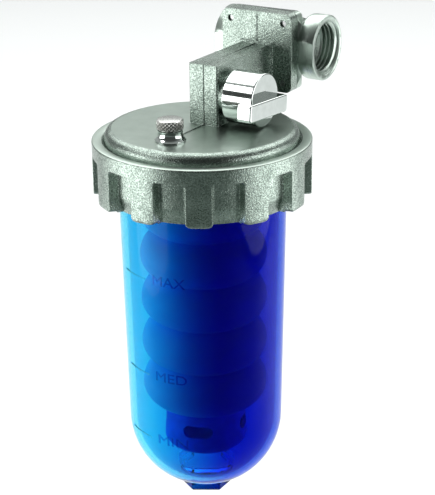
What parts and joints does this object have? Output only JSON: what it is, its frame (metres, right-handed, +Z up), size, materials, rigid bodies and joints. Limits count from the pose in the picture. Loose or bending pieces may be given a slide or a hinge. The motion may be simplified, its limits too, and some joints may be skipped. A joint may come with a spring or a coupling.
{
  "type": "inline water filter",
  "caption": "Inline dosing water filter: clear blue bowl with bellows, lugged ring nut, cast head with shut-off lever and vent, and a straight pipe fitting with threaded sockets.",
  "frame": {"origin": "centre of the outlet socket's mouth, on the pipe's axis", "axes": "+X along the pipe, out of the outlet socket; +Z up, along the bowl's axis; +Y from the bowl towards the pipe"},
  "size_m": [0.0834, 0.1132, 0.1881],
  "materials": {
    "nickel_casting": "nickel-plated casting, satin with a sand-cast grain",
    "bright_chrome": "polished chrome plate",
    "clear_blue": "clear blue moulding, polished",
    "blue_bellows": "soft satin blue",
    "blue_plastic": "opaque blue moulding",
    "white_plastic": "natural white moulding",
    "black_rubber": "moulded rubber",
    "gasket_fibre": "pressed fibre sheet",
    "screw_steel": "stainless steel",
    "plain_brass": "turned brass"
  },
  "bodies": {
    "head": {"head_casting": "nickel_casting", "pipe_fitting": "nickel_casting", "venturi_insert": "white_plastic", "flange_gasket": "gasket_fibre", "flange_screws": "screw_steel", "gland_nut": "plain_brass", "gland_washer": "white_plastic", "vent_seat": "bright_chrome", "vent_seat_seal": "gasket_fibre", "dosing_nozzle": "white_plastic", "nozzle_seal": "black_rubber", "ball_stop": "white_plastic", "bellows": "blue_bellows", "bellows_collar": "white_plastic", "bowl_seal": "black_rubber"},
    "valve": {"valve_plug": "plain_brass", "stem_seals": "black_rubber", "valve_handle": "bright_chrome", "handle_grub_screw": "screw_steel"},
    "vent_slider": {"vent_seal": "black_rubber"},
    "vent_knob": {"vent_screw": "bright_chrome"},
    "bowl_unit": {"bowl": "clear_blue", "slip_ring": "white_plastic"},
    "ring": {"ring_nut": "nickel_casting"},
    "bellows_end": {"bellows_foot": "blue_plastic", "refill_plug": "blue_plastic"},
    "ball": {"check_ball": "screw_steel"}
  },
  "joints": [
    {"name": "valve_turn", "type": "hinge", "parent": "head", "child": "valve", "pos_m": [-0.0084, -0.0493, -0.0095], "axis": [-1, 0, 0], "range_deg": [0, 90]},
    {"name": "vent_lift", "type": "slide", "parent": "head", "child": "vent_slider", "axis": [0, 0, 1], "range_m": [0, 0.002]},
    {"name": "vent_turn", "type": "hinge", "parent": "vent_slider", "child": "vent_knob", "pos_m": [-0.0224, -0.0803, -0.0151], "axis": [0, 0, 1], "range_deg": [0, 720]},
    {"name": "bowl_drop", "type": "slide", "parent": "head", "child": "bowl_unit", "axis": [0, 0, -1], "range_m": [0, 0.009]},
    {"name": "ring_turn", "type": "hinge", "parent": "bowl_unit", "child": "ring", "pos_m": [-0.0224, -0.0585, -0.0351], "axis": [0, 0, -1], "range_deg": [0, 1080]},
    {"name": "bellows_collapse", "type": "slide", "parent": "head", "child": "bellows_end", "axis": [0, 0, 1], "range_m": [0, 0.045], "deforming": ["bellows"]},
    {"name": "ball_lift", "type": "slide", "parent": "head", "child": "ball", "axis": [0, 0, 1], "range_m": [0, 0.0015]}
  ],
  "couplings": [
    {"joint": "vent_turn", "follows": "vent_lift", "rad_per_m": 6283},
    {"joint": "bowl_drop", "follows": "ring_turn", "m_per_rad": 0.00047746}
  ]
}
